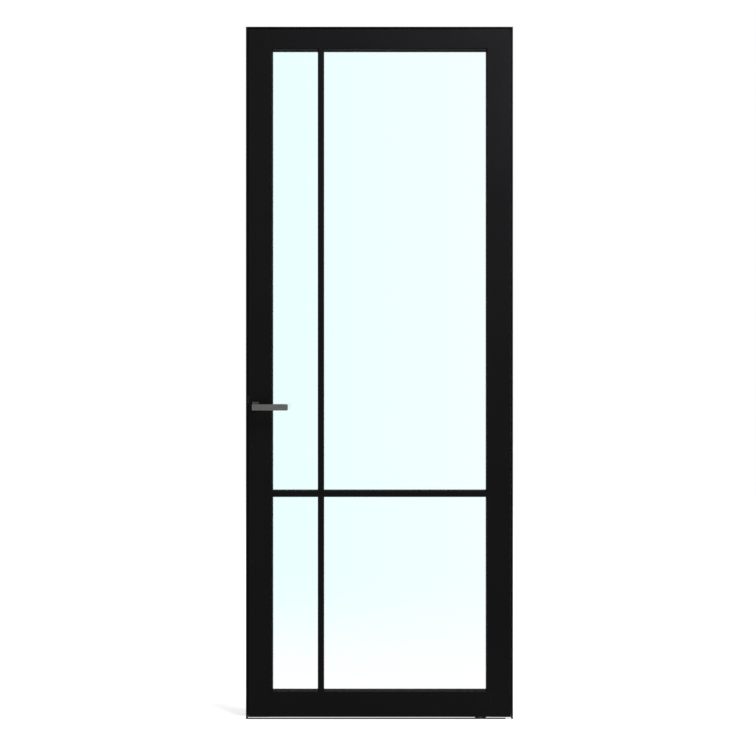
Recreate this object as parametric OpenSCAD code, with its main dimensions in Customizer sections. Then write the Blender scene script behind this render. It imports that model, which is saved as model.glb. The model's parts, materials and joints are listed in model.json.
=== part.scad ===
// Glass door in a slim frame: a black hollow-profile leaf with one pane,
// bonded glazing bars, a lever latch near the left edge and two hidden pivots.
// X runs to the pivot side, Y away from the viewer, Z up from the floor.

/* [Leaf] */
// Leaf width
leaf_w = 880; // [760:5:1000]
// Leaf height
leaf_h = 2308.5; // [1950:0.5:2500]
// Leaf thickness
leaf_t = 40; // [40:0.5:44]
// Visible width of the two stiles
stile_w = 80; // [78:1:110]
// Visible height of the top rail
top_rail_h = 66.5; // [64:0.5:110]
// Visible height of the bottom rail
bottom_rail_h = 85; // [80:0.5:160]
// Wall of the hollow profiles
wall = 2.5; // [2:0.1:3]
// Slope on the inner edges of rails, beads and bars
bevel = 3; // [2:0.5:6]
// Chamfer on the outer edges of the leaf
edge_chamfer = 0.6; // [0.5:0.1:1.5]

/* [Glazing] */
// Pane thickness
pane_t = 6; // [5:0.5:8]
// Gasket thickness on each side of the pane
gasket_t = 1.5; // [1:0.1:2]
// Clear width of the narrow left panes
side_light_w = 153; // [100:1:300]
// Clear height of the lower panes
lower_light_h = 653; // [300:0.5:1200]
// Width of the upright glazing bar
bar_w = 19.5; // [16:0.5:30]
// Height of the crossbar
cross_h = 22; // [16:0.5:30]
// Step from the leaf face back to the bar face
bar_recess = 1; // [0.5:0.1:2]

/* [Frame] */
// Thickness of jambs and head
frame_t = 5; // [5:0.5:8]
// Gap between leaf and frame at the sides and the top
side_gap = 3; // [3:0.1:5]
// Gap under the leaf
bottom_gap = 3; // [2.5:0.1:8]
// Thickness of the floor strip
strip_t = 3.5; // [3.5:0.1:6]
// How far the stop covers the leaf
stop_cover = 10; // [7:0.5:11]
// Pivot axis in from the inner side of the pivot stile's box
pivot_in = 32; // [28:1:60]

/* [Lever and latch] */
// Lever axis above the floor
lever_z = 1047; // [900:1:1150]
// Lever axis in from the latch edge of the leaf
backset = 25; // [25:0.5:28]
// Length of the front lever beyond its axis
lever_reach = 111; // [90:1:140]
// Height of the front lever
lever_h = 21; // [16:0.5:24]
// Length of the back lever beyond its axis
back_reach = 97; // [85:1:140]
// Height of the back lever
back_h = 15; // [15:0.5:24]
// Lever bar thickness
lever_t = 9; // [7:0.5:12]
// Distance from the leaf face to the back of the lever bar
lever_gap = 38; // [34:1:50]
// Latch travel
latch_throw = 7.5; // [7:0.1:7.5]

/* [Hidden] */
$fn = 48;
// A small overlap that keeps cuts and unions clean
eps = 1;
half_w = leaf_w / 2;
half_t = leaf_t / 2;
lip_w = 12;
lip_y = pane_t / 2 + gasket_t;
stile_tube = stile_w - lip_w;
top_tube = top_rail_h - lip_w;
bottom_tube = bottom_rail_h - lip_w;
leaf_z = strip_t + bottom_gap;
leaf_top = leaf_z + leaf_h;
open_w = leaf_w - 2 * stile_tube;
open_h = leaf_h - top_tube - bottom_tube;
light_x = half_w - stile_w;
light_z = leaf_z + bottom_rail_h;
light_top = leaf_top - top_rail_h;

// Frame positions
seal_t = 3;
seal_gap = 0.3;
jamb_in = half_w + side_gap;
jamb_out = jamb_in + frame_t;
head_z = leaf_top + side_gap;
frame_top = head_z + frame_t;
stop_y = half_t + seal_t;
frame_depth = half_t + stop_y + frame_t;
pivot_inset = stile_tube + pivot_in;
pivot_x = half_w - pivot_inset;
stop_clear = 20;
head_stop_end = pivot_x - half_t - stop_clear;

// Frame fixing holes
fix_r = 3.25;
fix_head_r = 6;
fix_sink = 3;
fix_y = 4;
fix_end = 190;
fix_low = leaf_z + fix_end;
fix_high = leaf_top - fix_end;
fix_third = (fix_high - fix_low) / 3;

// Clip groove of the glazing beads
groove_y = lip_y + 5;
groove_w = 3.4;
groove_d = 1.2;
rib_play = 0.2;
rib_end = 15;

// Pane and packing
pane_edge = 4;
pane_w = open_w - 2 * pane_edge;
pane_h = open_h - 2 * pane_edge;
pane_z = leaf_z + bottom_tube + pane_edge;
gasket_in = lip_w - 1;
block_l = 80;
block_x = open_w / 4;

// Bars
tape_t = 1;
tape_margin = 3;
bar_back = pane_t / 2 + tape_t;
bar_front = half_t - bar_recess;
cope_play = 0.1;
bar_x = -light_x + side_light_w + bar_w / 2;
bar_z = light_z + lower_light_h + cross_h / 2;

// Corner blocks and their screws
block_play = 0.2;
corner_l = 45;
pivot_block_l = pivot_in + 40;
bolt_r = 3;
bolt_head_r = 5;
bolt_head_h = 6;
bolt_access_r = 5.5;
bolt_y = 8;

// Pivots
pin_r = 7;
pin_top_r = 6;
run_play = 0.05;
bush_wall = 3;
bush_r = pin_r + run_play + bush_wall;
bolt_clear = 2;
bolt_l = pivot_in - bush_r - bolt_clear;
plate_t = 2;
plate_l = 32;
plate_w = 34;
plate_z = strip_t - plate_t;
plate_screw_r = 1.6;
plate_screw_x = 11.5;
plate_screw_y = 12.5;
nosing_d = 2.5;
nosing_short = 17;
pad_l = plate_l + 4;
pad_back = plate_w / 2 + 2;
pin_reach = 34;
bottom_block_max = 48;
top_block_max = 44;
block_gap = 2;
bottom_block_h = min(bottom_block_max, bottom_tube - 2 * wall - block_gap);
top_block_h = min(top_block_max, top_tube - 2 * wall - block_gap);
pin_foot = 4;
pin_clear = 0.5;
top_pin_low = leaf_top - wall - top_block_h + pin_foot;
top_pin_high = frame_top - pin_clear;
brush_w = 6;
brush_h = side_gap - 0.6;
brush_end = 12;

// Latch case
lever_x = -half_w + backset;
case_d = 40;
case_t = 16;
case_wall = 1.5;
case_below = 60;
case_above = 75;
case_low = lever_z - case_below;
case_high = lever_z + case_above;
case_x = -half_w + wall;
forend_w = 22;
forend_past = 50;
forend_low = case_low - forend_past;
forend_high = case_high + forend_past;
forend_play = 0.2;
anchor_t = 3;
anchor_in = 14;
anchor_out = 12;
anchor_w = 28;
forend_screw_r = 2;
latch_z = lever_z + 24;
latch_h = 24;
latch_w = 12;
latch_play = 0.3;
latch_tip = -half_w - latch_throw;
latch_body = 6.5;
hub_r = 7.5;
journal_r = 6.9;
hub_play = 0.1;
arm_half = 2.5;
arm_top = 12.5;
lug_low = 8.3;
lug_x = lever_x + arm_half + 0.7;
lug_l = 4;
tail_h = 10;
tail_y = 3.2;
tail_t = 2.6;
spring_r = 3;
spring_wire = 0.45;
spring_turns = 9;

// Strike plate
strike_t = 1.5;
strike_w = 24;
strike_h = 70;
strike_screw_z = 26;
strike_screw_r = 2;

// Levers and rosettes
rose_w = 22;
rose_up = 17.5;
rose_down = 10;
rose_h = rose_up + rose_down;
rose_mid = (rose_up - rose_down) / 2;
rose_d = 8;
rose_wall = 1.5;
rose_screw_r = 1.5;
rose_screw_x = 6;
rose_screw_z = 12.6;
neck_r = 7;
neck_play = 0.1;
spindle_w = 7;
spindle_play = 0.1;
socket_d = 28;
lever_end = 7.5;
lever_soft = 2;
lever_tip_r = 4;
grub_r = 2;
grub_y = half_t + rose_d + 8;
spindle_hole_r = 8;

black = [0.03, 0.03, 0.03];
rubber = [0.06, 0.06, 0.06];
steel = [0.55, 0.54, 0.52];
zinc = [0.68, 0.69, 0.70];
brass = [0.72, 0.58, 0.30];
nylon = [0.16, 0.16, 0.17];
clear = [0.85, 0.97, 0.97, 0.35];

// A flat shape drawn in Y and Z, drawn out along X
module along_x(length) {
    rotate([90, 0, 90])
        linear_extrude(height = length)
            children();
}

// A round bar along X
module rod_x(length, radius) {
    rotate([0, 90, 0])
        cylinder(h = length, r = radius);
}

// A round bar along Y
module rod_y(length, radius) {
    rotate([-90, 0, 0])
        cylinder(h = length, r = radius);
}

// A rectangle with rounded corners, centred
module soft_square(width, height, radius) {
    square([width - 2 * radius, height], center = true);
    square([width, height - 2 * radius], center = true);
    for (sx = [-1, 1], sy = [-1, 1])
        translate([sx * (width / 2 - radius), sy * (height / 2 - radius)])
            circle(r = radius);
}

// A countersunk screw along +Z with its head face at Z = 0 and its tip below
module sunk_screw(radius, length) {
    head_r = 2 * radius;
    difference() {
        union() {
            translate([0, 0, -radius])
                cylinder(h = radius, r1 = radius, r2 = head_r);
            translate([0, 0, -length])
                cylinder(h = length - radius, r = radius);
        }
        translate([0, 0, -radius / 2])
            cylinder(h = radius, r = radius * 0.6, $fn = 6);
    }
}

// The room that a countersunk screw takes
module sunk_hole(radius, length, play) {
    translate([0, 0, -radius])
        cylinder(h = radius, r1 = radius + play, r2 = 2 * radius + play);
    translate([0, 0, -length])
        cylinder(h = length, r = radius + play);
    cylinder(h = eps, r = 2 * radius + play);
}

// Hollow box of a stile or rail, outer edge at Z = 0
module tube_section(width) {
    difference() {
        polygon([
            [-half_t, edge_chamfer], [-half_t + edge_chamfer, 0],
            [half_t - edge_chamfer, 0], [half_t, edge_chamfer],
            [half_t, width], [-half_t, width]
        ]);
        translate([-half_t + wall, wall])
            square([leaf_t - 2 * wall, width - 2 * wall]);
    }
}

// Glazing lip or bead with its sloped edge, hollow above the given floor
module lip_section(root, floor_t) {
    difference() {
        polygon([
            [-half_t, -root], [-half_t, lip_w - bevel], [-half_t + bevel, lip_w],
            [-lip_y, lip_w], [-lip_y, -root]
        ]);
        translate([-half_t + wall, floor_t])
            square([half_t - lip_y - 2 * wall, lip_w - bevel - floor_t]);
    }
}

// Keeps what lies between two mitred ends
module mitre_prism(length, root) {
    rotate([90, 0, 0])
        linear_extrude(height = 2 * leaf_t, center = true)
            polygon([
                [0, -root], [0, 0], [lip_w, lip_w],
                [length - lip_w, lip_w], [length, 0], [length, -root]
            ]);
}

// One stile or rail along X: hollow box, bead groove and mitred lip
module member(length, tube, lip_from, lip_l) {
    difference() {
        along_x(length)
            tube_section(tube);
        translate([lip_from, groove_y, tube - groove_d])
            cube([lip_l, groove_w, groove_d + eps]);
    }
    translate([lip_from, 0, tube])
        intersection() {
            along_x(lip_l)
                lip_section(eps, 0);
            mitre_prism(lip_l, eps);
        }
}

// One clip-in glazing bead along X
module bead(length) {
    intersection() {
        along_x(length)
            mirror([1, 0])
                lip_section(0, wall);
        mitre_prism(length, 0);
    }
    translate([rib_end, groove_y + rib_play, -groove_d + rib_play])
        cube([length - 2 * rib_end, groove_w - 2 * rib_play, groove_d - rib_play + eps]);
}

module at_bottom() {
    translate([-open_w / 2, 0, leaf_z])
        children();
}

module at_top() {
    translate([-open_w / 2, 0, leaf_top])
        mirror([0, 0, 1])
            children();
}

module at_left() {
    translate([-half_w, 0, leaf_z])
        mirror([1, 0, -1])
            children();
}

module at_right() {
    translate([half_w, 0, leaf_z])
        mirror([1, 0, 0])
            mirror([1, 0, -1])
                children();
}

// Two bolts along X through one corner, seen from the left edge of the leaf
module corner_bolts(z) {
    for (dy = [-1, 1])
        translate([0, dy * bolt_y, z])
            children();
}

module bolt_holes(z) {
    corner_bolts(z) {
        union() {
            translate([-eps, 0, 0])
                rod_x(wall + 2 * eps, bolt_access_r);
            translate([stile_tube - wall - eps, 0, 0])
                rod_x(wall + 2 * eps, bolt_r + block_play);
        }
    }
}

corner_low_z = leaf_z + wall + bottom_block_h / 2;
corner_high_z = leaf_top - wall - top_block_h / 2;

// Frame

module latch_jamb() {
    color(black)
        difference() {
            union() {
                translate([-jamb_out, -half_t, strip_t])
                    cube([frame_t, frame_depth, head_z - strip_t]);
                translate([-jamb_in - eps, stop_y, strip_t])
                    cube([side_gap + stop_cover + eps, frame_t, head_z - strip_t]);
            }
            jamb_holes(-jamb_in, 1);
            translate([-jamb_in - strike_t, -strike_w / 2, latch_z - strike_h / 2])
                cube([strike_t + eps, strike_w, strike_h]);
            translate([-jamb_out - eps, -latch_w / 2 - eps, latch_z - latch_h / 2 - 2])
                cube([frame_t + 2 * eps, latch_w + 2 * eps, latch_h + 4]);
            for (dz = [-1, 1])
                translate([-jamb_in, 0, latch_z + dz * strike_screw_z])
                    rotate([0, 90, 0])
                        sunk_hole(strike_screw_r, frame_t + eps, run_play);
        }
}

// Countersunk wall holes of one jamb, sunk from the leaf side
module jamb_holes(face_x, side) {
    for (n = [0 : 3])
        translate([face_x, fix_y, fix_low + n * fix_third])
            rotate([0, side * 90, 0]) {
                translate([0, 0, -frame_t - eps])
                    cylinder(h = frame_t + 2 * eps, r = fix_r);
                translate([0, 0, -fix_sink])
                    cylinder(h = fix_sink, r1 = fix_r, r2 = fix_head_r);
            }
}

module pivot_jamb() {
    color(black)
        difference() {
            translate([jamb_in, -half_t, 0])
                cube([frame_t, frame_depth, head_z]);
            jamb_holes(jamb_in, -1);
        }
}

module head() {
    color(black)
        difference() {
            union() {
                translate([-jamb_out, -half_t, head_z])
                    cube([2 * jamb_out, frame_depth, frame_t]);
                translate([-half_w + stop_cover, stop_y, head_z - side_gap - stop_cover])
                    cube([head_stop_end + half_w - stop_cover, frame_t, side_gap + stop_cover + eps]);
            }
            translate([pivot_x, 0, head_z - eps])
                cylinder(h = frame_t + 2 * eps, r = pin_top_r + run_play + bush_wall);
        }
}

// The four screw places of the bottom pivot plate
module plate_corners() {
    for (dx = [-1, 1], dy = [-1, 1])
        translate([pivot_x + dx * plate_screw_x, dy * plate_screw_y, strip_t])
            children();
}

module floor_strip() {
    color(black)
        difference() {
            union() {
                translate([-jamb_out, -half_t, 0])
                    cube([jamb_out + half_w - nosing_short, nosing_d, strip_t]);
                translate([-jamb_out, -half_t, 0])
                    cube([frame_t, frame_depth, strip_t]);
                translate([-jamb_out, stop_y, 0])
                    cube([frame_t + side_gap + stop_cover, frame_t, strip_t]);
                translate([pivot_x - pad_l / 2, -half_t, 0])
                    cube([pad_l, half_t + pad_back, strip_t]);
            }
            translate([pivot_x - plate_l / 2 - block_play, -plate_w / 2 - block_play, plate_z])
                cube([plate_l + 2 * block_play, plate_w + 2 * block_play, plate_t + eps]);
            plate_corners()
                sunk_hole(plate_screw_r, strip_t + eps, run_play);
        }
}

module strike_plate() {
    color(steel)
        difference() {
            translate([-jamb_in - strike_t, -strike_w / 2, latch_z - strike_h / 2])
                cube([strike_t, strike_w, strike_h]);
            translate([-jamb_out, -latch_w / 2 - eps / 2, latch_z - latch_h / 2 - 1])
                cube([frame_t + eps, latch_w + eps, latch_h + 2]);
            for (dz = [-1, 1])
                translate([-jamb_in, 0, latch_z + dz * strike_screw_z])
                    rotate([0, 90, 0])
                        sunk_hole(strike_screw_r, strike_t + eps, 0.1);
        }
}

module strike_screws() {
    color(zinc)
        for (dz = [-1, 1])
            translate([-jamb_in, 0, latch_z + dz * strike_screw_z])
                rotate([0, 90, 0])
                    sunk_screw(strike_screw_r, frame_t);
}

module jamb_seal() {
    color(rubber)
        translate([-half_w + 1, half_t + seal_gap, leaf_z + stop_cover])
            cube([stop_cover - 2, seal_t - seal_gap, leaf_h - 2 * stop_cover]);
}

module head_seal() {
    color(rubber)
        translate([-half_w + stop_cover, half_t + seal_gap, leaf_top - stop_cover + 1])
            cube([head_stop_end + half_w - stop_cover, seal_t - seal_gap, stop_cover - 2]);
}

module bottom_pivot() {
    color(zinc)
        difference() {
            union() {
                translate([pivot_x - plate_l / 2, -plate_w / 2, plate_z])
                    cube([plate_l, plate_w, plate_t]);
                translate([pivot_x, 0, plate_z])
                    cylinder(h = plate_t + pin_reach, r = pin_r);
            }
            plate_corners()
                sunk_hole(plate_screw_r, plate_t + eps, 0.1);
        }
}

module pivot_screws() {
    color(zinc)
        plate_corners()
            sunk_screw(plate_screw_r, strip_t);
}

module thrust_washer() {
    color(brass)
        translate([pivot_x, 0, strip_t])
            difference() {
                cylinder(h = bottom_gap, r = pin_r + 2 * bush_wall);
                translate([0, 0, -eps])
                    cylinder(h = bottom_gap + eps, r = pin_r + block_play);
            }
}

module top_bush() {
    color(brass)
        translate([pivot_x, 0, head_z])
            difference() {
                cylinder(h = frame_t, r = pin_top_r + run_play + bush_wall);
                translate([0, 0, -eps])
                    cylinder(h = frame_t + 2 * eps, r = pin_top_r + run_play);
            }
}

// Leaf

module lock_stile() {
    color(black)
        difference() {
            at_left()
                member(leaf_h, stile_tube, bottom_tube, open_h);
            translate([-half_w - eps, -forend_w / 2 - forend_play, forend_low - forend_play])
                cube([wall + eps, forend_w + 2 * forend_play, forend_high - forend_low + 2 * forend_play]);
            translate([lever_x, -half_t - eps, lever_z])
                rod_y(leaf_t + 2 * eps, spindle_hole_r);
            for (dx = [-1, 1])
                translate([lever_x + dx * rose_screw_x, -half_t - eps, lever_z + rose_screw_z])
                    rod_y(leaf_t + 2 * eps, rose_screw_r);
            translate([-half_w, 0, 0]) {
                bolt_holes(corner_low_z);
                bolt_holes(corner_high_z);
            }
        }
}

module pivot_stile() {
    color(black)
        difference() {
            at_right()
                member(leaf_h, stile_tube, bottom_tube, open_h);
            translate([half_w, 0, 0])
                mirror([1, 0, 0]) {
                    bolt_holes(corner_low_z);
                    bolt_holes(corner_high_z);
                }
        }
}

module top_rail() {
    color(black)
        difference() {
            at_top()
                member(open_w, top_tube, 0, open_w);
            translate([pivot_x, 0, leaf_top - wall - eps])
                cylinder(h = wall + 2 * eps, r = pin_top_r + block_play);
        }
}

module bottom_rail() {
    color(black)
        difference() {
            at_bottom()
                member(open_w, bottom_tube, 0, open_w);
            translate([pivot_x, 0, leaf_z - eps])
                cylinder(h = wall + 2 * eps, r = bush_r + block_play);
        }
}

// A block in the end of a rail, from its outer wall inwards, with two tapped holes
module rail_block(from_x, length, low_z, height, end_x, side) {
    difference() {
        translate([from_x, -half_t + wall + block_play, low_z])
            cube([length, leaf_t - 2 * (wall + block_play), height]);
        corner_bolts(low_z + height / 2)
            translate([side > 0 ? end_x - bolt_l : end_x, 0, 0])
                rod_x(bolt_l, bolt_r);
    }
}

module corner_blocks() {
    color(zinc) {
        rail_block(-open_w / 2, corner_l, leaf_z + wall, bottom_block_h, -open_w / 2, -1);
        rail_block(-open_w / 2, corner_l, leaf_top - wall - top_block_h, top_block_h, -open_w / 2, -1);
    }
}

// One cap screw along +X with its head under the stile wall
module cap_screw() {
    difference() {
        union() {
            translate([-bolt_head_h, 0, 0])
                rod_x(bolt_head_h, bolt_head_r);
            rod_x(wall + bolt_l, bolt_r);
        }
        translate([-bolt_head_h - eps, 0, 0])
            rotate([0, 90, 0])
                cylinder(h = bolt_head_h / 2 + eps, r = bolt_head_r * 0.55, $fn = 6);
    }
}

module corner_screws() {
    color(zinc)
        for (z = [corner_low_z, corner_high_z])
            corner_bolts(z) {
                union() {
                    translate([-open_w / 2 - wall, 0, 0])
                        cap_screw();
                    translate([open_w / 2 + wall, 0, 0])
                        mirror([1, 0, 0])
                            cap_screw();
                }
            }
}

module top_pivot_block() {
    color(zinc)
        difference() {
            rail_block(open_w / 2 - pivot_block_l, pivot_block_l, leaf_top - wall - top_block_h,
                top_block_h, open_w / 2, 1);
            translate([pivot_x, 0, top_pin_low])
                cylinder(h = top_block_h + eps, r = pin_top_r + run_play);
        }
}

module top_pivot_pin() {
    color(steel)
        translate([pivot_x, 0, top_pin_low])
            cylinder(h = top_pin_high - top_pin_low, r = pin_top_r);
}

module bottom_pivot_block() {
    color(zinc)
        difference() {
            rail_block(open_w / 2 - pivot_block_l, pivot_block_l, leaf_z + wall,
                bottom_block_h, open_w / 2, 1);
            translate([pivot_x, 0, leaf_z])
                cylinder(h = pin_reach + bush_wall, r = bush_r);
        }
}

module bottom_bush() {
    color(brass)
        translate([pivot_x, 0, leaf_z])
            difference() {
                cylinder(h = pin_reach + bush_wall, r = bush_r);
                translate([0, 0, -eps])
                    cylinder(h = pin_reach + eps, r = pin_r + run_play);
            }
}

module glass_pane() {
    color(clear)
        translate([-pane_w / 2, -pane_t / 2, pane_z])
            cube([pane_w, pane_t, pane_h]);
}

module setting_blocks() {
    color(nylon)
        for (dx = [-1, 1])
            translate([dx * block_x - block_l / 2, -pane_t / 2, leaf_z + bottom_tube])
                cube([block_l, pane_t, pane_edge]);
}

module gasket_ring(from_y) {
    difference() {
        translate([-pane_w / 2, from_y, pane_z])
            cube([pane_w, gasket_t, pane_h]);
        translate([-open_w / 2 + gasket_in, from_y - eps, leaf_z + bottom_tube + gasket_in])
            cube([open_w - 2 * gasket_in, gasket_t + 2 * eps, open_h - 2 * gasket_in]);
    }
}

module gasket_front() {
    color(rubber)
        gasket_ring(-lip_y);
}

module gasket_back() {
    color(rubber)
        gasket_ring(pane_t / 2);
}

module bead_left() {
    color(black)
        at_left()
            translate([bottom_tube, 0, stile_tube])
                bead(open_h);
}

module bead_right() {
    color(black)
        at_right()
            translate([bottom_tube, 0, stile_tube])
                bead(open_h);
}

module bead_top() {
    color(black)
        at_top()
            translate([0, 0, top_tube])
                bead(open_w);
}

module bead_bottom() {
    color(black)
        at_bottom()
            translate([0, 0, bottom_tube])
                bead(open_w);
}

// Section of a glazing bar in Y and Z
module bar_section(width) {
    polygon([
        [-bar_back, -width / 2], [-bar_front + bevel, -width / 2],
        [-bar_front, -width / 2 + bevel], [-bar_front, width / 2 - bevel],
        [-bar_front + bevel, width / 2], [-bar_back, width / 2]
    ]);
}

// A bar along X from one edge to another; each end is shaped over the slope it meets,
// which starts at the given depth
module bar(width, from_x, from_y, to_x, to_y) {
    a = from_x + cope_play;
    b = to_x - cope_play;
    intersection() {
        translate([from_x - bevel, 0, 0])
            along_x(to_x - from_x + 2 * bevel)
                bar_section(width);
        linear_extrude(height = 2 * width, center = true)
            polygon([
                [a, -bar_back], [a, -from_y], [a - bar_front + from_y, -bar_front],
                [b + bar_front - to_y, -bar_front], [b, -to_y], [b, -bar_back]
            ]);
    }
}

lip_slope_y = half_t - bevel;
bar_slope_y = bar_front - bevel;

module vertical_bar() {
    translate([bar_x, 0, 0])
        mirror([1, 0, -1])
            bar(bar_w, light_z, lip_slope_y, light_top, lip_slope_y);
}

module crossbar_left() {
    translate([0, 0, bar_z])
        bar(cross_h, -light_x, lip_slope_y, bar_x - bar_w / 2, bar_slope_y);
}

module crossbar_right() {
    translate([0, 0, bar_z])
        bar(cross_h, bar_x + bar_w / 2, bar_slope_y, light_x, lip_slope_y);
}

module bar_tape() {
    tape_w = bar_w - 2 * tape_margin;
    tape_h = cross_h - 2 * tape_margin;
    translate([bar_x - tape_w / 2, -bar_back, light_z + tape_margin])
        cube([tape_w, tape_t, light_top - light_z - 2 * tape_margin]);
    translate([-light_x + tape_margin, -bar_back, bar_z - tape_h / 2])
        cube([side_light_w - 2 * tape_margin, tape_t, tape_h]);
    translate([bar_x + bar_w / 2 + tape_margin, -bar_back, bar_z - tape_h / 2])
        cube([light_x - bar_x - bar_w / 2 - 2 * tape_margin, tape_t, tape_h]);
}

module vertical_bar_front() {
    color(black)
        vertical_bar();
}

module crossbar_left_front() {
    color(black)
        crossbar_left();
}

module crossbar_right_front() {
    color(black)
        crossbar_right();
}

module vertical_bar_back() {
    color(black)
        mirror([0, 1, 0])
            vertical_bar();
}

module crossbar_left_back() {
    color(black)
        mirror([0, 1, 0])
            crossbar_left();
}

module crossbar_right_back() {
    color(black)
        mirror([0, 1, 0])
            crossbar_right();
}

module bar_tape_front() {
    color(nylon)
        bar_tape();
}

module bar_tape_back() {
    color(nylon)
        mirror([0, 1, 0])
            bar_tape();
}

module edge_brush() {
    color(rubber)
        translate([half_w, -brush_w / 2, leaf_z + brush_end])
            cube([brush_h, brush_w, leaf_h - 2 * brush_end]);
}

module top_brush() {
    color(rubber) {
        translate([-half_w + brush_end, -brush_w / 2, leaf_top])
            cube([pivot_x - 2 * pin_r + half_w - brush_end, brush_w, brush_h]);
        translate([pivot_x + 2 * pin_r, -brush_w / 2, leaf_top])
            cube([pivot_inset - 2 * pin_r - brush_end, brush_w, brush_h]);
    }
}

// Latch case and its parts

module lock_case() {
    color(zinc)
        difference() {
            translate([case_x, -case_t / 2 + case_wall, case_low])
                cube([case_d, case_t - case_wall, case_high - case_low]);
            translate([case_x + case_wall, -case_t / 2, case_low + case_wall])
                cube([case_d - 2 * case_wall, case_t - case_wall, case_high - case_low - 2 * case_wall]);
            translate([case_x - eps, -latch_w / 2 - latch_play, latch_z - latch_h / 2 - latch_play])
                cube([case_wall + 2 * eps, latch_w + 2 * latch_play, latch_h + 2 * latch_play]);
            translate([lever_x, 0, lever_z])
                rod_y(case_t, journal_r + hub_play);
        }
}

module lock_cover() {
    color(zinc)
        difference() {
            translate([case_x, -case_t / 2, case_low])
                cube([case_d, case_wall, case_high - case_low]);
            translate([lever_x, -case_t, lever_z])
                rod_y(case_t, journal_r + hub_play);
        }
}

module lock_forend() {
    color(steel)
        difference() {
            translate([-half_w, -forend_w / 2, forend_low])
                cube([wall, forend_w, forend_high - forend_low]);
            translate([-half_w - eps, -latch_w / 2 - latch_play, latch_z - latch_h / 2 - latch_play])
                cube([wall + 2 * eps, latch_w + 2 * latch_play, latch_h + 2 * latch_play]);
            for (z = [forend_low + anchor_in / 2, forend_high - anchor_in / 2])
                translate([-half_w, 0, z])
                    rotate([0, -90, 0])
                        sunk_hole(forend_screw_r, wall + eps, 0.1);
        }
}

module forend_anchors() {
    color(zinc)
        for (end = [[forend_low, 1], [forend_high, -1]])
            translate([case_x, 0, end[0]])
                difference() {
                    translate([0, -anchor_w / 2, end[1] > 0 ? -anchor_out : -anchor_in])
                        cube([anchor_t, anchor_w, anchor_in + anchor_out]);
                    translate([-eps, 0, end[1] * anchor_in / 2])
                        rod_x(anchor_t + 2 * eps, forend_screw_r + run_play);
                }
}

module forend_screws() {
    color(zinc)
        for (z = [forend_low + anchor_in / 2, forend_high - anchor_in / 2])
            translate([-half_w, 0, z])
                rotate([0, -90, 0])
                    sunk_screw(forend_screw_r, wall + anchor_t);
}

// Points on the wire of a coil spring along X
function coil_point(i, k, steps, sides, length) =
    let (
        turn = 360 * spring_turns * i / steps,
        wire = 360 * k / sides,
        reach = spring_r + spring_wire * cos(wire)
    )
    [spring_wire + (length - 2 * spring_wire) * i / steps + spring_wire * sin(wire),
        reach * cos(turn), reach * sin(turn)];

module coil(length) {
    steps = 16 * spring_turns;
    sides = 6;
    points = [for (i = [0 : steps], k = [0 : sides - 1]) coil_point(i, k, steps, sides, length)];
    skin = [
        for (i = [0 : steps - 1], k = [0 : sides - 1])
            [i * sides + k, i * sides + (k + 1) % sides,
                (i + 1) * sides + (k + 1) % sides, (i + 1) * sides + k]
    ];
    start = [for (k = [0 : sides - 1]) sides - 1 - k];
    end = [for (k = [0 : sides - 1]) steps * sides + k];
    polyhedron(points = points, faces = concat(skin, [start, end]), convexity = 10);
}

spring_x = -half_w + latch_body;
spring_end = case_x + case_d - case_wall;

module latch_spring() {
    color(steel)
        translate([spring_x + 0.1, -2, latch_z + 1])
            coil(spring_end - spring_x - 0.2);
}

module rosette_base() {
    difference() {
        translate([lever_x - rose_w / 2 + rose_wall, -half_t - rose_d + rose_wall, lever_z - rose_down + rose_wall])
            cube([rose_w - 2 * rose_wall, rose_d - rose_wall, rose_h - 2 * rose_wall]);
        translate([lever_x, -2 * half_t, lever_z])
            rod_y(2 * half_t, neck_r + neck_play);
        for (dx = [-1, 1])
            translate([lever_x + dx * rose_screw_x, -half_t - rose_d + rose_wall, lever_z + rose_screw_z])
                rotate([90, 0, 0])
                    sunk_hole(rose_screw_r, rose_d, 0.1);
    }
}

module rosette() {
    difference() {
        translate([lever_x, -half_t, lever_z + rose_mid])
            rotate([90, 0, 0])
                linear_extrude(height = rose_d)
                    soft_square(rose_w, rose_h, 1);
        translate([lever_x - rose_w / 2 + rose_wall, -half_t - rose_d + rose_wall, lever_z - rose_down + rose_wall])
            cube([rose_w - 2 * rose_wall, rose_d, rose_h - 2 * rose_wall]);
        translate([lever_x, -2 * half_t, lever_z])
            rod_y(2 * half_t, neck_r + neck_play);
    }
}

module rosette_base_front() {
    color(nylon)
        rosette_base();
}

module rosette_base_back() {
    color(nylon)
        mirror([0, 1, 0])
            rosette_base();
}

module rosette_front() {
    color(steel)
        rosette();
}

module rosette_back() {
    color(steel)
        mirror([0, 1, 0])
            rosette();
}

module rosette_screws() {
    color(zinc)
        for (side = [0, 1], dx = [-1, 1])
            mirror([0, side, 0])
                translate([lever_x + dx * rose_screw_x, -half_t - rose_d + rose_wall, lever_z + rose_screw_z])
                    rotate([90, 0, 0])
                        sunk_screw(rose_screw_r, rose_d - rose_wall + wall);
}

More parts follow.
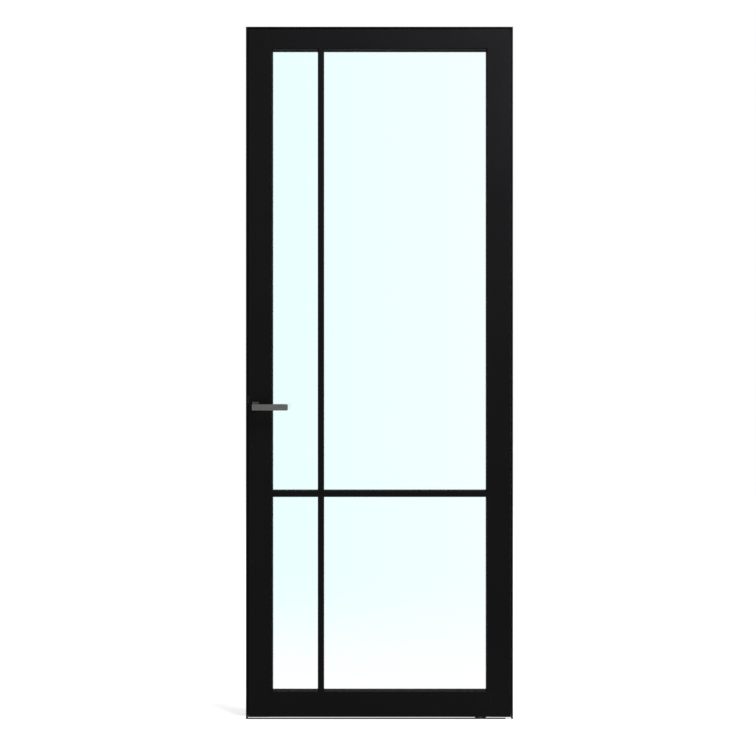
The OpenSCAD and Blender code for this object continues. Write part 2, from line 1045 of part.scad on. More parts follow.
// One lever: round neck with a square socket and a flat bar with softened edges
module lever(reach, height) {
    bar_l = reach + lever_end;
    bar_mid = (reach - lever_end) / 2;
    bar_y = half_t + lever_gap;
    translate([lever_x, 0, lever_z])
        difference() {
            union() {
                translate([0, -bar_y - lever_t / 2, 0])
                    rod_y(bar_y + lever_t / 2 - half_t, neck_r);
                intersection() {
                    translate([bar_mid, -bar_y, 0])
                        rotate([90, 0, 0])
                            linear_extrude(height = lever_t)
                                soft_square(bar_l, height, lever_tip_r);
                    translate([bar_mid, -bar_y - lever_t / 2, -height])
                        linear_extrude(height = 2 * height)
                            soft_square(bar_l, lever_t, lever_soft);
                    translate([-lever_end - eps, 0, 0])
                        along_x(bar_l + 2 * eps)
                            translate([-bar_y - lever_t / 2, 0])
                                soft_square(lever_t, height, lever_soft);
                }
            }
            translate([-spindle_w / 2 - spindle_play, -half_t - socket_d, -spindle_w / 2 - spindle_play])
                cube([spindle_w + 2 * spindle_play, socket_d + eps, spindle_w + 2 * spindle_play]);
            translate([0, -grub_y, -neck_r - eps])
                cylinder(h = neck_r + eps, r = grub_r + run_play);
        }
}

module lever_front() {
    color(steel)
        lever(lever_reach, lever_h);
}

module lever_back() {
    color(steel)
        mirror([0, 1, 0])
            lever(back_reach, back_h);
}

module spindle() {
    reach = half_t + socket_d - 1;
    color(zinc)
        translate([lever_x - spindle_w / 2, -reach, lever_z - spindle_w / 2])
            cube([spindle_w, 2 * reach, spindle_w]);
}

module hub() {
    inside = case_t / 2 - case_wall - 0.3;
    hole = spindle_w + 2 * spindle_play;
    color(zinc)
        translate([lever_x, 0, lever_z])
            difference() {
                union() {
                    translate([0, -inside, 0])
                        rod_y(2 * inside, hub_r);
                    translate([0, -case_t / 2, 0])
                        rod_y(case_t, journal_r);
                    translate([-arm_half, -arm_half, 0])
                        cube([2 * arm_half, 2 * arm_half, arm_top]);
                }
                translate([-hole / 2, -case_t, -hole / 2])
                    cube([hole, 2 * case_t, hole]);
            }
}

module grub_screws() {
    length = neck_r - spindle_w / 2 - 0.5;
    color(zinc)
        for (dy = [-1, 1])
            translate([lever_x, dy * grub_y, lever_z - spindle_w / 2 - length])
                difference() {
                    cylinder(h = length, r = grub_r);
                    translate([0, 0, -eps])
                        cylinder(h = length / 2 + eps, r = grub_r / 2, $fn = 6);
                }
}

module latch_bolt() {
    slope = latch_throw - 0.5;
    color(steel) {
        translate([0, 0, latch_z - latch_h / 2])
            linear_extrude(height = latch_h)
                polygon([
                    [latch_tip, -latch_w / 2], [latch_tip, -latch_w / 4],
                    [latch_tip + slope, latch_w / 2], [-half_w + latch_body, latch_w / 2],
                    [-half_w + latch_body, -latch_w / 2]
                ]);
        translate([-half_w + latch_body - eps, tail_y, latch_z - tail_h / 2])
            cube([lug_x + lug_l + half_w - latch_body + eps, tail_t, tail_h]);
        translate([lug_x, -arm_half, lever_z + lug_low])
            cube([lug_l, tail_y + tail_t + arm_half, latch_z - tail_h / 2 + eps - lever_z - lug_low]);
    }
}

latch_jamb();
pivot_jamb();
head();
floor_strip();
strike_plate();
strike_screws();
jamb_seal();
head_seal();
bottom_pivot();
pivot_screws();
thrust_washer();
top_bush();
lock_stile();
pivot_stile();
top_rail();
bottom_rail();
corner_blocks();
corner_screws();
top_pivot_block();
top_pivot_pin();
bottom_pivot_block();
bottom_bush();
glass_pane();
setting_blocks();
gasket_front();
gasket_back();
bead_left();
bead_right();
bead_top();
bead_bottom();
vertical_bar_front();
crossbar_left_front();
crossbar_right_front();
vertical_bar_back();
crossbar_left_back();
crossbar_right_back();
bar_tape_front();
bar_tape_back();
edge_brush();
top_brush();
lock_case();
lock_cover();
lock_forend();
forend_anchors();
forend_screws();
latch_spring();
rosette_base_front();
rosette_base_back();
rosette_front();
rosette_back();
rosette_screws();
lever_front();
lever_back();
spindle();
hub();
grub_screws();
latch_bolt();
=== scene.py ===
# %% [markdown]
# # A glass door in a slim black frame
# The door is one tall pane in a black aluminium leaf, with bonded glazing bars, a
# lever latch near the left edge and two hidden pivots near the right one. Every rigid
# piece already comes from the CAD model, in metres. This lesson gives each piece its
# real finish and adds the pieces that CAD blocks can't show: the rubber noses at the
# glass, the bulb seals on the stop, the pile of the brush seals and the latch spring.

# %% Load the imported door
import json
import bmesh
import bpy
import numpy as np
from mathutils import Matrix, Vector


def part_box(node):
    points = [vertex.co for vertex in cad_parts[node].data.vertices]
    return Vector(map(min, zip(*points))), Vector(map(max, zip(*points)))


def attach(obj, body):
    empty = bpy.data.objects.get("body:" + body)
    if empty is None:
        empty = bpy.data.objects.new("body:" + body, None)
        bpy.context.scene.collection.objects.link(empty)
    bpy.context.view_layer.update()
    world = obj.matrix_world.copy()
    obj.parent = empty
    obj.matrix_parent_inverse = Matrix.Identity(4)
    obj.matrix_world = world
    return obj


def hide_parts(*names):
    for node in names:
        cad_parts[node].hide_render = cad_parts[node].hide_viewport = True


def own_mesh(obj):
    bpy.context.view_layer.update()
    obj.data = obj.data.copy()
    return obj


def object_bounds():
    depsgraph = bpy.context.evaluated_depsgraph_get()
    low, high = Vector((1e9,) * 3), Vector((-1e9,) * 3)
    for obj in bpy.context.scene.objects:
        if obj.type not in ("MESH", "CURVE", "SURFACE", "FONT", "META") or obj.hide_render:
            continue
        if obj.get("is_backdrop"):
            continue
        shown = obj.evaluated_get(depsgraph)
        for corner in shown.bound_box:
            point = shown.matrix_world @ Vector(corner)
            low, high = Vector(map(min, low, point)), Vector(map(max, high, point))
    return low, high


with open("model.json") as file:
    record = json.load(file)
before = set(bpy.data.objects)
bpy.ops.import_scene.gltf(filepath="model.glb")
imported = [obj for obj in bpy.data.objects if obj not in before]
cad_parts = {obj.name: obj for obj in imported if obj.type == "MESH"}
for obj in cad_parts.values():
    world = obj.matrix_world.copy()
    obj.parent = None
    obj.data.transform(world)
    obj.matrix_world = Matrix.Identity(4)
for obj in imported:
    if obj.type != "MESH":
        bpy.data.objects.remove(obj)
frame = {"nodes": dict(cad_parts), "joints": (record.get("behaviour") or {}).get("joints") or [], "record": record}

cad_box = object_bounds()
nodes = frame["nodes"]
joints = {row["name"]: row for row in frame["joints"]}
print("nodes", len(nodes), "box", [tuple(round(c, 4) for c in v) for v in cad_box])

# %% [markdown]
# ## Small tools
# Colours are written as sRGB hex, as a paint chart gives them, but a shader works in
# linear light, so one function does the change. Patterns are given in millimetres:
# Blender's noise has about one feature per unit at scale 1, so a feature of s mm needs
# a scale of 1000 / s. One function adds any node with its settings and its links.

# %% Colour, pattern scale and nodes
def linear(code):
    """sRGB hex to linear: c / 12.92 for dark values, ((c + 0.055) / 1.055) ** 2.4 otherwise."""
    c = np.array([int(code[i:i + 2], 16) for i in (1, 3, 5)]) / 255
    return (*np.where(c <= 0.04045, c / 12.92, ((c + 0.055) / 1.055) ** 2.4).tolist(), 1.0)


def feature(size_mm):
    """The texture scale that gives features of this many millimetres."""
    return 1000.0 / size_mm


def wire(tree, node, sockets):
    """Links a socket to another node's output, or sets it to a plain value."""
    for name, value in dict(sockets).items():
        if isinstance(value, bpy.types.NodeSocket):
            tree.links.new(value, node.inputs[name])
        else:
            node.inputs[name].default_value = value


def add(tree, kind, settings=(), sockets=()):
    """Adds a node with its settings and wires its sockets."""
    new = tree.nodes.new(kind)
    for name, value in dict(settings).items():
        setattr(new, name, value)
    wire(tree, new, sockets)
    return new


print("mid grey", [round(c, 3) for c in linear("#808080")])

# %% [markdown]
# ## Camera
# The door is seen straight on, with the lens at half its height, so that uprights stay
# upright. The tops of the crossbar and the bottom rail show as thin strips, more so at
# the bottom: that fits a camera about 3.4 m in front of the leaf.

# %% Camera
PICTURE_PX, SENSOR_MM, LENS_MM = 756, 36.0, 48.25
LENS_AT = Vector((-0.0049, -3.42, 1.1443))

camera = bpy.data.objects.new("camera", bpy.data.cameras.new("camera"))
bpy.context.scene.collection.objects.link(camera)
camera.location = LENS_AT
camera.rotation_euler = (np.pi / 2, 0, 0)
camera.data.sensor_width = SENSOR_MM
camera.data.lens = LENS_MM
bpy.context.scene.camera = camera
bpy.context.scene.view_settings.view_transform = "Standard"
leaf_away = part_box("lock_stile")[0].y - LENS_AT.y
print("mm per pixel at the leaf", round(SENSOR_MM / LENS_MM * 1000 * leaf_away / PICTURE_PX, 4))

# %% [markdown]
# ## White studio
# The background is plain white. The world is white where the camera, a reflection or
# the glass looks at it, and dimmer where it only lights the door, so black stays black.
# The floor works the same way. The lamps reach less of it further out, so its own glow
# grows with the distance from the door: the far floor melts into the white, and near the
# door there is room left for a soft shadow. Straight under the leaf, where the leaf
# shades it, it glows as well: painted light, so that the gap over the floor strip
# still reads as a thin light line.

# %% World and floor
WHITE = (1.0, 1.0, 1.0, 1.0)
ROOM_LIGHT = 0.42
NEAR_GLOW, FAR_GLOW, GAP_PAINTED_LIGHT = 0.45, 0.76, 0.82
NEAR_M, FAR_M, GAP_CORE_M, GAP_EDGE_M = 0.2, 3.0, 0.012, 0.02
FLOOR_HALF = 8


def either(tree, one, other):
    """The larger of two values; of two kinds of ray, 1 where one or the other arrives."""
    return add(tree, "ShaderNodeMath", {"operation": "MAXIMUM"}, {0: one, 1: other}).outputs[0]


world = bpy.data.worlds.new("white_studio")
world.use_nodes = True
world.node_tree.nodes.clear()
bpy.context.scene.world = world
rays = add(world.node_tree, "ShaderNodeLightPath").outputs
mirrored = either(world.node_tree, rays["Is Glossy Ray"], rays["Is Transmission Ray"])
seen = either(world.node_tree, rays["Is Camera Ray"], mirrored)
level = add(world.node_tree, "ShaderNodeMapRange", {},
            {"Value": seen, "To Min": ROOM_LIGHT, "To Max": 1.0})
sky = add(world.node_tree, "ShaderNodeBackground", {},
          {"Color": WHITE, "Strength": level.outputs["Result"]})
add(world.node_tree, "ShaderNodeOutputWorld", {}, {"Surface": sky.outputs[0]})

paper = bpy.data.materials.new("white_paper_floor")
paper.use_nodes = True
paper.node_tree.nodes.clear()
rays = add(paper.node_tree, "ShaderNodeLightPath").outputs
mirrored = either(paper.node_tree, rays["Is Glossy Ray"], rays["Is Transmission Ray"])
spot = add(paper.node_tree, "ShaderNodeTexCoord").outputs["Object"]
away = add(paper.node_tree, "ShaderNodeVectorMath", {"operation": "LENGTH"}, {0: spot}).outputs["Value"]
near_far = add(paper.node_tree, "ShaderNodeMapRange", {},
               {"Value": away, "From Min": NEAR_M, "From Max": FAR_M,
                "To Min": NEAR_GLOW, "To Max": FAR_GLOW})
depth = add(paper.node_tree, "ShaderNodeSeparateXYZ", {}, {0: spot}).outputs["Y"]
off_line = add(paper.node_tree, "ShaderNodeMath", {"operation": "ABSOLUTE"}, {0: depth}).outputs[0]
# Painted light: a narrow band of glow on the floor under the leaf, where the leaf shades it.
under = add(paper.node_tree, "ShaderNodeMapRange", {},
            {"Value": off_line, "From Min": GAP_CORE_M, "From Max": GAP_EDGE_M,
             "To Min": GAP_PAINTED_LIGHT, "To Max": 0.0})
own = either(paper.node_tree, near_far.outputs["Result"], under.outputs["Result"])
glow = add(paper.node_tree, "ShaderNodeMapRange", {},
           {"Value": rays["Is Camera Ray"], "To Min": 1.0, "To Max": own})
lift = add(paper.node_tree, "ShaderNodeEmission", {}, {"Strength": glow.outputs["Result"]})
sheet = add(paper.node_tree, "ShaderNodeBsdfDiffuse", {}, {"Color": linear("#C4C4C4")})
shaded = add(paper.node_tree, "ShaderNodeAddShader", {}, {0: lift.outputs[0], 1: sheet.outputs[0]})
plain = add(paper.node_tree, "ShaderNodeEmission", {}, {"Strength": 1.0})
view = add(paper.node_tree, "ShaderNodeMixShader", {},
           {0: mirrored, 1: shaded.outputs[0], 2: plain.outputs[0]})
add(paper.node_tree, "ShaderNodeOutputMaterial", {}, {"Surface": view.outputs[0]})

floor_mesh = bpy.data.meshes.new("floor")
corners = [(-FLOOR_HALF, -FLOOR_HALF, 0), (FLOOR_HALF, -FLOOR_HALF, 0),
           (FLOOR_HALF, FLOOR_HALF, 0), (-FLOOR_HALF, FLOOR_HALF, 0)]
floor_mesh.from_pydata(corners, [], [(0, 1, 2, 3)])
floor_mesh.materials.append(paper)
floor = bpy.data.objects.new("floor", floor_mesh)
bpy.context.scene.collection.objects.link(floor)
floor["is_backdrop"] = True
print("floor", tuple(floor.dimensions))

# %% [markdown]
# ## Lamps
# The black faces grow lighter towards the top right, so a large soft lamp stands there,
# in front. A weaker one fills from the left, and one overhead lights the tops of the
# crossbar and the bottom rail. Their square outlines would show as hard white patches in
# the pane from the side, so mirror reflections see the white room and not the lamps.

# %% Three soft lamps
def soft_lamp(name, place, aim, width, height, watts):
    """A rectangular lamp, width by height in metres, that looks from its place to its aim."""
    data = bpy.data.lights.new(name, "AREA")
    data.shape, data.size, data.size_y, data.energy = "RECTANGLE", width, height, watts
    lamp = bpy.data.objects.new(name, data)
    lamp.location = place
    lamp.rotation_euler = (Vector(aim) - Vector(place)).to_track_quat("-Z", "Y").to_euler()
    lamp.visible_camera = lamp.visible_glossy = lamp.visible_transmission = False
    bpy.context.scene.collection.objects.link(lamp)
    print(name, watts, "W")


soft_lamp("key_softbox", (1.0, -1.1, 2.7), (0.2, 0.0, 1.7), 0.9, 0.9, 70)
soft_lamp("fill_softbox", (-2.6, -3.0, 1.7), (0.0, 0.0, 1.1), 1.6, 1.6, 14)
soft_lamp("top_softbox", (0.0, -0.2, 4.4), (0.0, 0.0, 0.0), 2.0, 1.4, 110)

# %% [markdown]
# ## How a finish starts
# A finish is one Principled shader fed by patterns on Object coordinates, so it stays
# with its piece when the leaf swings. Real coatings thin out and polish on edges. The
# mask for that compares the surface normal with one rounded over a small radius: they
# differ only near an edge.

# %% Start of a finish, and the edge mask
def start(name):
    """A material with a Principled shader: returns the node tree, Object coordinates and shader."""
    made = bpy.data.materials.new(name)
    made.use_nodes = True
    tree = made.node_tree
    tree.nodes.clear()
    place = add(tree, "ShaderNodeTexCoord").outputs["Object"]
    shader = add(tree, "ShaderNodeBsdfPrincipled")
    add(tree, "ShaderNodeOutputMaterial", {}, {"Surface": shader.outputs[0]})
    return made, tree, place, shader


FLAT_DOT, EDGE_DOT = 0.98, 0.75
PATCH_LOW, PATCH_HIGH = 0.4, 0.65


def edge_mask(tree, place, radius_mm, patch_mm):
    """1 on worn edges, 0 on flats: one minus the dot of rounded and plain normals, broken by noise."""
    rounded = add(tree, "ShaderNodeBevel", {"samples": 4}, {"Radius": radius_mm / 1000})
    plain = add(tree, "ShaderNodeNewGeometry")
    same = add(tree, "ShaderNodeVectorMath", {"operation": "DOT_PRODUCT"},
               {0: rounded.outputs[0], 1: plain.outputs["Normal"]})
    turned = add(tree, "ShaderNodeMapRange", {},
                 {"Value": same.outputs["Value"], "From Min": FLAT_DOT, "From Max": EDGE_DOT})
    patch = add(tree, "ShaderNodeTexNoise", {}, {"Vector": place, "Scale": feature(patch_mm), "Detail": 3.0})
    uneven = add(tree, "ShaderNodeMapRange", {},
                 {"Value": patch.outputs[0], "From Min": PATCH_LOW, "From Max": PATCH_HIGH})
    return add(tree, "ShaderNodeMath", {"operation": "MULTIPLY"},
               {0: turned.outputs[0], 1: uneven.outputs[0]}).outputs[0]


finish = {}

# %% [markdown]
# ## Black powder coat
# The leaf and the frame are aluminium with a polyester powder baked on. The powder melts
# into a skin with a faint orange peel, about 1 mm across and a few hundredths deep. It
# is drawn at 3 mm here so that it still shows in a render of the whole door. The sheen
# is low and drifts a little from place to place, as the oven does.

# %% Powder coat for leaf and frame
CLOUD_MM, PEEL_MM, PEEL_DEEP_MM = 240, 3, 0.06
COAT_EDGE_MM, COAT_PATCH_MM = 0.9, 45
COAT_DRIFT, COAT_SPECULAR = 0.07, 0.022


def powder_coat(name, deep, pale, worn, rough):
    """Cloudy tone between deep and pale, worn tone on edges, orange peel as bump, roughness that drifts."""
    made, tree, place, shader = start(name)
    cloud = add(tree, "ShaderNodeTexNoise", {}, {"Vector": place, "Scale": feature(CLOUD_MM), "Detail": 3.0})
    tone = add(tree, "ShaderNodeMix", {"data_type": "RGBA"},
               {0: cloud.outputs[0], 6: linear(deep), 7: linear(pale)})
    rubbed = add(tree, "ShaderNodeMix", {"data_type": "RGBA"},
                 {0: edge_mask(tree, place, COAT_EDGE_MM, COAT_PATCH_MM),
                  6: tone.outputs[2], 7: linear(worn)})
    peel = add(tree, "ShaderNodeTexNoise", {}, {"Vector": place, "Scale": feature(PEEL_MM), "Detail": 2.0})
    bump = add(tree, "ShaderNodeBump", {},
               {"Strength": 0.35, "Distance": PEEL_DEEP_MM / 1000, "Height": peel.outputs[0]})
    drift = add(tree, "ShaderNodeMapRange", {},
                {"Value": cloud.outputs[0], "To Min": rough - COAT_DRIFT, "To Max": rough + COAT_DRIFT})
    wire(tree, shader, {"Base Color": rubbed.outputs[2], "Roughness": drift.outputs[0],
                        "Normal": bump.outputs[0], "Specular IOR Level": COAT_SPECULAR})
    return made


finish["leaf_black"] = powder_coat("satin_powder_coat_on_leaf", "#0A0A0B", "#0F0F10", "#262627", 0.42)
finish["frame_black"] = powder_coat("satin_powder_coat_on_frame", "#0A0A0A", "#0F0F0F", "#242424", 0.46)
print("powder coats", sorted(finish))

# %% [markdown]
# ## Toughened glass
# The pane is 6 mm toughened float glass. Iron in float glass takes out a little red,
# which leaves a pale blue-green. The tint is drawn stronger on the left, paler on the
# right and gone near the floor.
# Toughening on rollers leaves a very shallow wave about 300 mm long. Transmission with
# the tint as base colour gives the whole pane's colour once, over both faces.

# %% Glass of the pane
WAVE_MM, WAVE_DEEP_MM = 300, 0.2
FILM_MM, FILM_LOW, FILM_HIGH, FILM_ROUGH = 70, 0.5, 0.8, 0.03
TINT_LEFT_M, TINT_RIGHT_M, CLEAR_BELOW_M, TINTED_ABOVE_M = -0.25, 0.3, 0.07, 0.5


def tinted_glass(name, left, right, clear):
    """Tint from left to right across the pane, clear at the floor; a long wave as bump, a film of haze."""
    made, tree, place, shader = start(name)
    xyz = add(tree, "ShaderNodeSeparateXYZ", {}, {0: place})
    across = add(tree, "ShaderNodeMapRange", {},
                 {"Value": xyz.outputs["X"], "From Min": TINT_LEFT_M, "From Max": TINT_RIGHT_M})
    tint = add(tree, "ShaderNodeMix", {"data_type": "RGBA"},
               {0: across.outputs[0], 6: linear(left), 7: linear(right)})
    fade = add(tree, "ShaderNodeMapRange", {"interpolation_type": "SMOOTHSTEP"},
               {"Value": xyz.outputs["Z"], "From Min": CLEAR_BELOW_M, "From Max": TINTED_ABOVE_M})
    body = add(tree, "ShaderNodeMix", {"data_type": "RGBA"},
               {0: fade.outputs[0], 6: linear(clear), 7: tint.outputs[2]})
    wave = add(tree, "ShaderNodeTexNoise", {}, {"Vector": place, "Scale": feature(WAVE_MM), "Detail": 0.0})
    bump = add(tree, "ShaderNodeBump", {},
               {"Strength": 0.2, "Distance": WAVE_DEEP_MM / 1000, "Height": wave.outputs[0]})
    haze = add(tree, "ShaderNodeTexNoise", {}, {"Vector": place, "Scale": feature(FILM_MM), "Detail": 4.0})
    film = add(tree, "ShaderNodeMapRange", {},
               {"Value": haze.outputs[0], "From Min": FILM_LOW, "From Max": FILM_HIGH,
                "To Min": 0.0, "To Max": FILM_ROUGH})
    wire(tree, shader, {"Base Color": body.outputs[2], "Roughness": film.outputs[0],
                        "Normal": bump.outputs[0], "Transmission Weight": 1.0, "IOR": 1.52})
    return made


finish["clear_glass"] = tinted_glass("toughened_float_glass", "#EBFFFF", "#F3FFFF", "#FFFFFF")
nodes["glass_pane"].visible_shadow = False
print("glass", finish["clear_glass"].name)

# %% [markdown]
# ## Dark brushed stainless
# Lever, rosette, latch and forend are stainless steel, tinted dark and brushed along
# their length. Brushing leaves long scratches a tenth of a millimetre wide, drawn here
# at 0.8 mm so that they show. They spread a reflection across the grain. Hands polish
# the edges, which turn brighter. The rosettes get a darker tone: painted shade that
# stands in for the shadow of the lever on them.

# %% Brushed steel of lever and latch
SCRATCH_MM, SCRATCH_STRETCH, SCRATCH_DEEP_MM = 0.8, 40, 0.05
STREAK_LOW, STREAK_HIGH, STEEL_DRIFT = 0.36, 0.64, 0.1
STEEL_EDGE_MM, STEEL_PATCH_MM = 0.7, 14


def brushed(name, base, scratch, worn, rough):
    """Long scratches along X between base and scratch tone, worn tone on edges, roughness that drifts."""
    made, tree, place, shader = start(name)
    along = add(tree, "ShaderNodeMapping", {}, {"Vector": place, "Scale": (1 / SCRATCH_STRETCH, 1.0, 1.0)})
    grain = add(tree, "ShaderNodeTexNoise", {},
                {"Vector": along.outputs[0], "Scale": feature(SCRATCH_MM), "Detail": 4.0})
    streak = add(tree, "ShaderNodeMapRange", {},
                 {"Value": grain.outputs[0], "From Min": STREAK_LOW, "From Max": STREAK_HIGH})
    tone = add(tree, "ShaderNodeMix", {"data_type": "RGBA"},
               {0: streak.outputs[0], 6: linear(base), 7: linear(scratch)})
    touched = add(tree, "ShaderNodeMix", {"data_type": "RGBA"},
                  {0: edge_mask(tree, place, STEEL_EDGE_MM, STEEL_PATCH_MM),
                   6: tone.outputs[2], 7: linear(worn)})
    gloss = add(tree, "ShaderNodeMapRange", {},
                {"Value": grain.outputs[0], "To Min": rough - STEEL_DRIFT, "To Max": rough + STEEL_DRIFT})
    bump = add(tree, "ShaderNodeBump", {},
               {"Strength": 0.3, "Distance": SCRATCH_DEEP_MM / 1000, "Height": grain.outputs[0]})
    wire(tree, shader, {"Base Color": touched.outputs[2], "Roughness": gloss.outputs[0],
                        "Normal": bump.outputs[0], "Metallic": 1.0})
    return made


finish["satin_steel"] = brushed("dark_brushed_stainless", "#5B5A59", "#6A6967", "#888785", 0.36)
# The rosettes' darker tone is painted shade, in place of the lever's shadow.
rosette_steel_painted_shade = brushed("brushed_stainless_darkened_by_painted_shade", "#454443", "#515050", "#6E6D6C", 0.4)
print("steel", finish["satin_steel"].name, "and", rosette_steel_painted_shade.name)

# %% [markdown]
# ## Zinc, cast alloy and brass
# Screws, lock case and pivots are zinc-plated steel: bright, with a faint blue spangle.
# The corner blocks are die cast, so their skin is matt and slightly pitted. The bushes
# and the thrust washer are turned brass with fine tool rings.

# %% The three small metals
def mottled_metal(name, base, patch, size_mm, rough, spread, depth_mm):
    """Patches of one size carry tone, roughness and bump together."""
    made, tree, place, shader = start(name)
    grain = add(tree, "ShaderNodeTexNoise", {}, {"Vector": place, "Scale": feature(size_mm), "Detail": 5.0})
    tone = add(tree, "ShaderNodeMix", {"data_type": "RGBA"},
               {0: grain.outputs[0], 6: linear(base), 7: linear(patch)})
    gloss = add(tree, "ShaderNodeMapRange", {},
                {"Value": grain.outputs[0], "To Min": rough - spread, "To Max": rough + spread})
    bump = add(tree, "ShaderNodeBump", {},
               {"Strength": 0.5, "Distance": depth_mm / 1000, "Height": grain.outputs[0]})
    wire(tree, shader, {"Base Color": tone.outputs[2], "Roughness": gloss.outputs[0],
                        "Normal": bump.outputs[0], "Metallic": 1.0})
    return made


finish["zinc_steel"] = mottled_metal("zinc_plated_steel", "#B4B8BF", "#C6C8C9", 4, 0.32, 0.1, 0.01)
finish["cast_alloy"] = mottled_metal("die_cast_aluminium", "#A9A9AA", "#BBBBBA", 1.5, 0.5, 0.12, 0.06)
finish["bearing_brass"] = mottled_metal("turned_brass", "#B8954F", "#CBAA64", 0.6, 0.28, 0.08, 0.02)
print("small metals", [finish[s].name for s in ("zinc_steel", "cast_alloy", "bearing_brass")])

# %% [markdown]
# ## Rubber, pile and polymer
# Gaskets and seals are extruded EPDM rubber: matt, a little bloomed to grey. The brush
# seals are polypropylene pile, whose fibres catch light on their sides. Rosette bases,
# packers and bonding strips are moulded polyamide with a fine spark-eroded grain.

# %% The three black plastics
EVEN, FIBRES = (1, 1, 1), (0.2, 1, 0.2)
DULL_DRIFT, DULL_SPECULAR = 0.08, 0.2


def dull_black(name, deep, bloom, size_mm, rough, depth_mm, sheen, stretch):
    """Grain of one size, drawn out by stretch, carries tone, roughness and bump together."""
    made, tree, place, shader = start(name)
    drawn = add(tree, "ShaderNodeMapping", {}, {"Vector": place, "Scale": stretch})
    grain = add(tree, "ShaderNodeTexNoise", {},
                {"Vector": drawn.outputs[0], "Scale": feature(size_mm), "Detail": 4.0})
    tone = add(tree, "ShaderNodeMix", {"data_type": "RGBA"},
               {0: grain.outputs[0], 6: linear(deep), 7: linear(bloom)})
    gloss = add(tree, "ShaderNodeMapRange", {},
                {"Value": grain.outputs[0], "To Min": rough - DULL_DRIFT, "To Max": rough + DULL_DRIFT})
    bump = add(tree, "ShaderNodeBump", {},
               {"Strength": 0.5, "Distance": depth_mm / 1000, "Height": grain.outputs[0]})
    wire(tree, shader, {"Base Color": tone.outputs[2], "Roughness": gloss.outputs[0],
                        "Normal": bump.outputs[0], "Specular IOR Level": DULL_SPECULAR,
                        "Sheen Weight": sheen})
    return made


finish["seal_rubber"] = dull_black("extruded_epdm_rubber", "#0C0C0C", "#1A1A1A", 6, 0.7, 0.04, 0.0, EVEN)
finish["brush_pile"] = dull_black("woven_pile_polypropylene", "#0B0B0B", "#232323",
                                  0.5, 0.8, 0.2, 0.15, FIBRES)
finish["black_polymer"] = dull_black("moulded_polyamide", "#121213", "#1C1C1D", 0.9, 0.55, 0.03, 0.0, EVEN)
print("finishes", len(finish))

# %% [markdown]
# ## Dress the CAD pieces
# The record says which finish each piece takes. A CAD mesh is loose triangles, so a Weld
# joins them and flat triangles are merged into whole faces. Then a small Bevel breaks the
# sharp edges that no real extrusion has.

# %% Materials and broken edges
for row in frame["record"]["subparts"]:
    piece = nodes[row["node"]]
    piece.data.materials.clear()
    piece.data.materials.append(finish[row["material_slot"]])
# The rosettes take the darker steel: painted shade for the lever's shadow.
for name in ("rosette_front", "rosette_back"):
    nodes[name].data.materials[0] = rosette_steel_painted_shade

EDGES_MM = {0.5: ("lock_stile", "pivot_stile", "top_rail", "bottom_rail", "rosette_front", "rosette_back"),
            0.4: ("latch_jamb", "pivot_jamb", "head", "latch_bolt",
                  "bead_left", "bead_right", "bead_top", "bead_bottom",
                  "vertical_bar_front", "crossbar_left_front", "crossbar_right_front",
                  "vertical_bar_back", "crossbar_left_back", "crossbar_right_back"),
            0.3: ("lock_forend",)}
MERGE, FLAT_DEG, SHARP_DEG = 1e-5, 2, 35


def break_edges(piece, width_mm):
    """Weld, then one face per flat, then a two-step bevel on every edge sharper than SHARP_DEG."""
    weld = piece.modifiers.new("weld", "WELD")
    weld.merge_threshold = MERGE
    joined = piece.modifiers.new("flat_faces", "DECIMATE")
    joined.decimate_type, joined.angle_limit = "DISSOLVE", np.radians(FLAT_DEG)
    broken = piece.modifiers.new("broken_edge", "BEVEL")
    broken.width, broken.segments = width_mm / 1000, 2
    broken.limit_method, broken.angle_limit = "ANGLE", np.radians(SHARP_DEG)


for width_mm, names in EDGES_MM.items():
    for name in names:
        break_edges(nodes[name], width_mm)
    print("edges of", width_mm, "mm on", len(names), "pieces")

# %% [markdown]
# ## New pieces as surfaces
# Each soft piece is a section carried along a path: a grid of points, one row per
# station. Faces join neighbours in the grid. Where a strip ends, the end rows shrink to
# one point, which closes it. The signed volume tells if the faces point outwards.

# %% From a grid of points to a piece
SAME_POINT = 1e-6


def skin(name, grid, ring, body, slot):
    """A closed piece from points[station, section, xyz]; a ring joins its last station to its first."""
    if not ring:
        ends = grid[[0, -1]].mean(axis=1, keepdims=True).repeat(grid.shape[1], axis=1)
        grid = np.concatenate([ends[:1], grid, ends[1:]])
    n, m = grid.shape[:2]
    i, j = np.meshgrid(np.arange(n if ring else n - 1), np.arange(m), indexing="ij")
    up, on = (i + 1) % n, (j + 1) % m
    quads = np.stack([i * m + j, up * m + j, up * m + on, i * m + on], axis=-1).reshape(-1, 4)
    points = grid.reshape(-1, 3)
    a, b, c, d = (points[quads[:, q]] for q in range(4))
    volume = (np.cross(a, b) * c + np.cross(a, c) * d).sum() / 6
    if volume < 0:
        quads = quads[:, ::-1]
    mesh = bpy.data.meshes.new(name)
    mesh.from_pydata(points.tolist(), [], quads.tolist())
    work = bmesh.new()
    work.from_mesh(mesh)
    bmesh.ops.remove_doubles(work, verts=work.verts, dist=SAME_POINT)
    work.to_mesh(mesh)
    work.free()
    mesh.polygons.foreach_set("use_smooth", np.ones(len(mesh.polygons), bool))
    mesh.materials.append(finish[slot])
    piece = bpy.data.objects.new(name, mesh)
    bpy.context.scene.collection.objects.link(piece)
    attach(piece, body)
    print(name, len(mesh.vertices), "points", round(abs(volume) * 1e9), "mm3")
    return piece


# %% [markdown]
# ## Rubber noses at the glass
# The gasket between pane and lip ends in a small round nose that shows as a dark line
# round every light, front and back. The bars are bonded on, and the same nose seals
# their edges. Its section is a squared-off ellipse carried round a rectangle; at each
# corner the section lies on the mitre, so the four sides meet cleanly.

